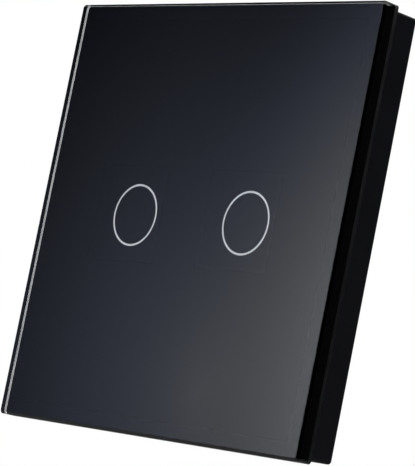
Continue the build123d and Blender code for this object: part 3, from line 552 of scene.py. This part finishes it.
@dataclass(frozen=True)
class TouchPanel:
    """The glass with its print, seen through the glass as if bonded to it.

    Low and high are the corners of the glass's box.
    """

    low: Vector
    high: Vector
    front_bevel: float = 0.45 * MM
    rear_bevel: float = 0.06 * MM
    ground_depth: float = 0.85 * MM
    corner_radius: float = 0.6 * MM
    arris: float = 0.05 * MM
    least_radius: float = 0.2 * MM
    sunk: float = 0.02 * MM
    film: float = 0.01 * MM
    ring_pitch: float = 29.4 * MM
    ring_diameter: float = 11.3 * MM
    ring_line: float = 0.37 * MM
    ring_steps: int = 160

    @property
    def half(self) -> float:
        """Half of the glass's side.

        Returns:
            The length in metres.
        """
        return (self.high.x - self.low.x) / 2

    @property
    def back(self) -> float:
        """How far out the glass's back is.

        Returns:
            The distance out in metres.
        """
        return -self.high.y

    @property
    def front(self) -> float:
        """How far out the glass's front is.

        Returns:
            The distance out in metres.
        """
        return -self.low.y

    def build(self) -> None:
        """Makes the glass, the print's face in it and the rings."""
        self._glass()
        self._print_face()
        self._rings()

    def _glass(self) -> None:
        """Makes the glass: a rounded square carried along a profile of bevels.

        Each profile point is a distance in from the side, a distance out from the wall, and the
        zone that starts there. The side is ground over its rear part. In front of that it is
        polished, and green as glass is when it is looked through from edge to edge. The arris
        between two faces is a short flat, so that its edge catches the light.
        """
        back, front = self.back, self.front
        rear, ahead, cut = self.rear_bevel, self.front_bevel, self.arris
        profile = [(rear, back, GlassZone.GROUND),
                   (0.0, back + rear, GlassZone.GROUND),
                   (0.0, back + self.ground_depth, GlassZone.SIDE),
                   (0.0, front - ahead - cut, GlassZone.CLEAR),
                   (cut / 2, front - ahead + cut / 2, GlassZone.CLEAR),
                   (ahead - cut / 2, front - cut / 2, GlassZone.CLEAR),
                   (ahead + cut, front, GlassZone.CLEAR)]
        radii = [max(self.corner_radius - inset, self.least_radius) for inset, _, _ in profile]
        loops = [rounded_square(self.half - inset, radius)
                 for (inset, _, _), radius in zip(profile, radii)]
        points = rings_at(loops, [out for _, out, _ in profile])
        wears = np.array([zone for _, _, zone in profile[:-1]])
        glass = make_piece("glass_pane", points, "panel",
                           list(ZONE_FINISHES.values()), row_finish=wears)
        self._print_front(glass.data)
        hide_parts("glass_panel")

    def _front_faces(self, shell: bmesh.types.BMesh) -> list[bmesh.types.BMFace]:
        """Finds the faces in the glass's front.

        Args:
            shell: The pane's mesh.

        Returns:
            The faces whose middles lie in the front's plane.
        """
        return [face for face in shell.faces
                if abs(face.calc_center_median().y - self.low.y) < CLOSE]

    def _print_front(self, mesh: bpy.types.Mesh) -> None:
        """Gives the front the printed finish where only the print can be seen through it.

        Level and upright cuts leave clear a margin along the sides, and a square window round
        each ring. Both reach past the side or ring by the furthest that glass carries a look
        sideways, which is its depth times the tangent of the angle whose sine is one over its
        index of refraction.

        Args:
            mesh: The pane's mesh, whose front is one face.
        """
        carry = (self.high.y - self.low.y) * math.tan(math.asin(1 / POLISHED_GLASS.ior))
        inner = self.half - carry
        window = (self.ring_diameter + self.ring_line) / 2 + carry
        middle = self.ring_pitch / 2
        shell = bmesh.new()
        shell.from_mesh(mesh)
        for along, places in ((Vector(ACROSS_X), (inner, middle - window, middle + window)),
                              (Vector(UP_Z), (inner, window))):
            for place in (side * place for place in places for side in (-1, 1)):
                front = self._front_faces(shell)
                edges = {edge for face in front for edge in face.edges}
                corners = {corner for face in front for corner in face.verts}
                bmesh.ops.bisect_plane(shell, geom=[*front, *edges, *corners],
                                       plane_co=along * place, plane_no=along)
        for face in self._front_faces(shell):
            place = face.calc_center_median()
            in_margin = max(abs(place.x), abs(place.z)) > inner
            in_window = abs(place.z) < window and abs(abs(place.x) - middle) < window
            clear = in_margin or in_window
            face.material_index = GlassZone.CLEAR if clear else GlassZone.PRINTED
        shell.to_mesh(mesh)
        shell.free()

    def _print_face(self) -> None:
        """Makes the print's face, a thin slab just inside the glass's back."""
        out = self.back + self.sunk
        loop = rounded_square(self.half - self.rear_bevel, self.corner_radius - self.rear_bevel)
        make_piece("print_face", rings_at([loop, loop], [out - self.film, out]), "panel",
                   [BLACK_PRINT])

    def _rings(self) -> None:
        """Makes each ring as a closed band whose section is a thin rectangle."""
        low_out = self.back + self.sunk + self.film
        high_out = low_out + self.film
        inner = (self.ring_diameter - self.ring_line) / 2
        outer = (self.ring_diameter + self.ring_line) / 2
        section = [(inner, low_out), (outer, low_out), (outer, high_out), (inner, high_out),
                   (inner, low_out)]
        turn = np.linspace(0, 2 * math.pi, self.ring_steps, endpoint=False)
        for side, name in ((-1, "ring_left"), (1, "ring_right")):
            middle = side * self.ring_pitch / 2
            loops = [np.column_stack([middle + radius * np.cos(turn), radius * np.sin(turn)])
                     for radius, _ in section]
            make_piece(name, rings_at(loops, [out for _, out in section]), "panel",
                       [RING_PRINT], ends=False)


@dataclass(frozen=True)
class SoftLight:
    """A round light on a card.

    It falls off from its spot as a power of one less the distance, where the distance is counted
    in reaches across and up.
    """

    spot: tuple[float, float]
    reach: tuple[float, float]
    power: float
    bright: float


@dataclass(frozen=True)
class Card:
    """A studio card that only reflections see: a dim flag, or one with soft lights on it."""

    name: str
    middle: Place
    across: Place
    up: Place
    width: float
    height: float
    even_light: float = 0.0
    lights: tuple[SoftLight, ...] = ()
    full_scale: float = 4.0
    tints: Stops = ((0.11, (0.89, 1.0, 1.38)), (0.29, (0.97, 1.0, 1.09)))
    soft_edge: float = 0.12

    def build(self) -> None:
        """Hangs the card in the studio."""
        mesh = flat_mesh(self.name, self.width, self.height)
        mesh.materials.append(self._light())
        card = add_object(self.name, mesh)
        across, up = Vector(self.across).normalized(), Vector(self.up).normalized()
        turn = Matrix((across, up, across.cross(up))).transposed().to_4x4()
        card.matrix_world = Matrix.Translation(self.middle) @ turn
        card.visible_camera = card.visible_diffuse = card.visible_shadow = False
        card.visible_transmission = False

    def _light(self) -> bpy.types.Material:
        """Builds the card's light, which fades out towards the card's edges.

        Returns:
            The card's material.
        """
        made = bpy.data.materials.new(self.name)
        made.use_nodes = True
        tree = made.node_tree
        tree.nodes.remove(tree.nodes["Principled BSDF"])
        light = tree.nodes.new("ShaderNodeEmission")
        light.inputs["Strength"].default_value = self.even_light
        place = tree.nodes.new("ShaderNodeTexCoord").outputs["Object"]
        if self.lights:
            self._soft_lights(tree, place, light)
        clear = tree.nodes.new("ShaderNodeBsdfTransparent")
        show_mix(tree, self._cover(tree, place), clear.outputs["BSDF"], light.outputs["Emission"])
        return made

    def _soft_lights(self, tree: bpy.types.NodeTree, place: bpy.types.NodeSocket,
                     light: bpy.types.Node) -> None:
        """Adds up the round lights, bluish where they are weak and plain where they are strong.

        Args:
            tree: The material's nodes.
            place: The card's coordinates.
            light: The node that takes the lights' strength and tint.
        """
        total: float | bpy.types.NodeSocket = self.even_light
        for one in self.lights:
            reaches = tree.nodes.new("ShaderNodeMapping")
            reaches.vector_type = "TEXTURE"
            reaches.inputs["Location"].default_value = (*one.spot, 0)
            reaches.inputs["Scale"].default_value = (*one.reach, 1)
            far = tree.nodes.new("ShaderNodeVectorMath")
            far.operation = "LENGTH"
            tree.links.new(place, reaches.inputs["Vector"])
            tree.links.new(reaches.outputs["Vector"], far.inputs[0])
            near = add_math(tree, "SUBTRACT", 1.0, far.outputs["Value"])
            within = add_math(tree, "MAXIMUM", near, 0.0)
            fall = add_math(tree, "POWER", within, one.power)
            total = add_math(tree, "MULTIPLY_ADD", fall, one.bright, total)
        share = add_range(tree, total, 0.0, self.full_scale)
        tree.links.new(add_ramp(tree, share, self.tints), light.inputs["Color"])
        tree.links.new(total, light.inputs["Strength"])

    def _cover(self, tree: bpy.types.NodeTree,
               place: bpy.types.NodeSocket) -> bpy.types.NodeSocket:
        """Works out how much the card covers: all of it, but for a soft band along its edges.

        Args:
            tree: The material's nodes.
            place: The card's coordinates.

        Returns:
            The card's share, from 0 at its edges to 1 inside the band.
        """
        parts = tree.nodes.new("ShaderNodeSeparateXYZ")
        tree.links.new(place, parts.inputs["Vector"])
        shares = []
        for axis, size in (("X", self.width), ("Y", self.height)):
            from_middle = add_math(tree, "ABSOLUTE", parts.outputs[axis])
            shares.append(add_range(tree, from_middle, size / 2, size / 2 - self.soft_edge,
                                    soft=True))
        return add_math(tree, "MULTIPLY", *shares)


@dataclass(frozen=True)
class Lamp:
    """A soft square lamp that faces the switch and isn't seen in reflections."""

    name: str
    place: Place
    power: float
    side: float

    def build(self) -> None:
        """Hangs the lamp in the studio."""
        data = bpy.data.lights.new(self.name, "AREA")
        data.energy = self.power
        data.size = self.side
        lamp = add_object(self.name, data)
        lamp.location = self.place
        lamp.rotation_euler = (-Vector(self.place)).to_track_quat("-Z", "Y").to_euler()
        lamp.visible_glossy = lamp.visible_camera = False


LAMPS = (
    Lamp("lamp_above", place=(0.1, -0.7, 0.9), power=9.0, side=0.8),
    Lamp("lamp_left", place=(-0.9, -0.5, 0.3), power=5.0, side=0.7),
    Lamp("lamp_behind", place=(0.5, 0.9, 0.5), power=3.0, side=0.7),
)
FACE_LIGHTS = (
    SoftLight(spot=(0.2564, -0.0783), reach=(0.3457, 0.5004), power=2.7425, bright=6.0),
    SoftLight(spot=(0.0052, -0.1071), reach=(0.364, 0.4279), power=1.8417, bright=0.8373),
)
CARDS = (
    Card("face_light", middle=(-1.05, -1.0, 0.15), across=ACROSS_X, up=UP_Z, width=0.9,
         height=0.9, even_light=0.0541, lights=FACE_LIGHTS),
    Card("right_flag", middle=(1.714, 0.153, 0.20), across=(-0.68, 0.73, 0), up=UP_Z,
         width=3.9, height=5.0, even_light=0.026),
    Card("camera_flag", middle=(0.74, -0.80, 0.12), across=(0.73, 0.68, 0), up=UP_Z,
         width=0.8, height=0.7),
    Card("floor_flag", middle=(-0.20, 0.0, -0.155), across=ACROSS_X, up=ALONG_Y, width=1.4,
         height=1.2, even_light=0.25),
    Card("rear_flag", middle=(-0.88, 0.68, 0.40), across=(0.65, 0.76, 0), up=UP_Z, width=0.9,
         height=1.3, even_light=0.06),
    Card("top_flag", middle=(-0.88, 0.13, 0.82), across=ALONG_Y, up=(0.68, 0, 0.73),
         width=0.6, height=0.6),
)


@dataclass(frozen=True)
class Studio:
    """Camera, world, floor, lamps and cards."""

    floor_height: float = -0.16
    floor_side: float = 4.0
    ambient: float = 0.55
    full_light: float = 1.0
    lens: float = 205.09
    clip_start: float = 0.01
    camera_place: Place = (0.352112, -0.326879, -0.054388)
    camera_axis: Place = (-0.730771, 0.673726, 0.109848)
    camera_right: Place = (0.680538, 0.706480, 0.194304)

    def build(self) -> None:
        """Sets up everything that isn't the switch."""
        self._camera()
        self._world()
        self._floor()
        for lamp in LAMPS:
            lamp.build()
        for card in CARDS:
            card.build()

    def _camera(self) -> None:
        """Places the camera where the photograph's straight edges put it."""
        data = bpy.data.cameras.new("camera")
        data.lens = self.lens
        data.clip_start = self.clip_start
        camera = add_object("camera", data)
        back = -Vector(self.camera_axis).normalized()
        right = Vector(self.camera_right).normalized()
        up = back.cross(right)
        turn = Matrix((right, up, back)).transposed().to_4x4()
        camera.matrix_world = Matrix.Translation(self.camera_place) @ turn
        bpy.context.scene.camera = camera

    def _world(self) -> None:
        """Shows plain white to the camera, mirrors and glass, and a softer light to the rest."""
        world = bpy.data.worlds.new("room")
        world.use_nodes = True
        bpy.context.scene.world = world
        tree = world.node_tree
        sky = tree.nodes["Background"]
        sky.inputs["Color"].default_value = (*WHITE, 1)
        rays = tree.nodes.new("ShaderNodeLightPath")
        seen = rays.outputs["Is Camera Ray"]
        for kind in ("Is Glossy Ray", "Is Transmission Ray"):
            seen = add_math(tree, "MAXIMUM", seen, rays.outputs[kind])
        level = add_range(tree, seen, 0.0, 1.0, self.ambient, self.full_light)
        tree.links.new(level, sky.inputs["Strength"])

    def _floor(self) -> None:
        """Lays the pale floor, far enough below to stay out of the photograph's view.

        Its underside is clear, so that the switch can be seen from below.
        """
        mesh = flat_mesh("floor", self.floor_side, self.floor_side, self.floor_height)
        pale = PALE_FLOOR.material()
        tree = pale.node_tree
        side = tree.nodes.new("ShaderNodeNewGeometry")
        clear = tree.nodes.new("ShaderNodeBsdfTransparent")
        show_mix(tree, side.outputs["Backfacing"],
                 tree.nodes["Principled BSDF"].outputs["BSDF"], clear.outputs["BSDF"])
        mesh.materials.append(pale)
        add_object("floor", mesh)


def dress_nodes() -> None:
    """Gives every CAD node its finish."""
    for name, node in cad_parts.items():
        material = NODE_FINISHES[name].material()
        if node.material_slots:
            for place in node.material_slots:
                place.link = "OBJECT"
                place.material = material
        log.info("node %s wears %s", name, material.name)


def main() -> None:
    """Builds the studio and the switch's looks, in order."""
    logging.basicConfig(level=logging.INFO)
    bpy.context.scene.view_settings.view_transform = "Standard"
    Studio().build()
    dress_nodes()
    low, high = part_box("glass_panel")
    TouchPanel(low, high).build()


if __name__ == "__main__":
    main()
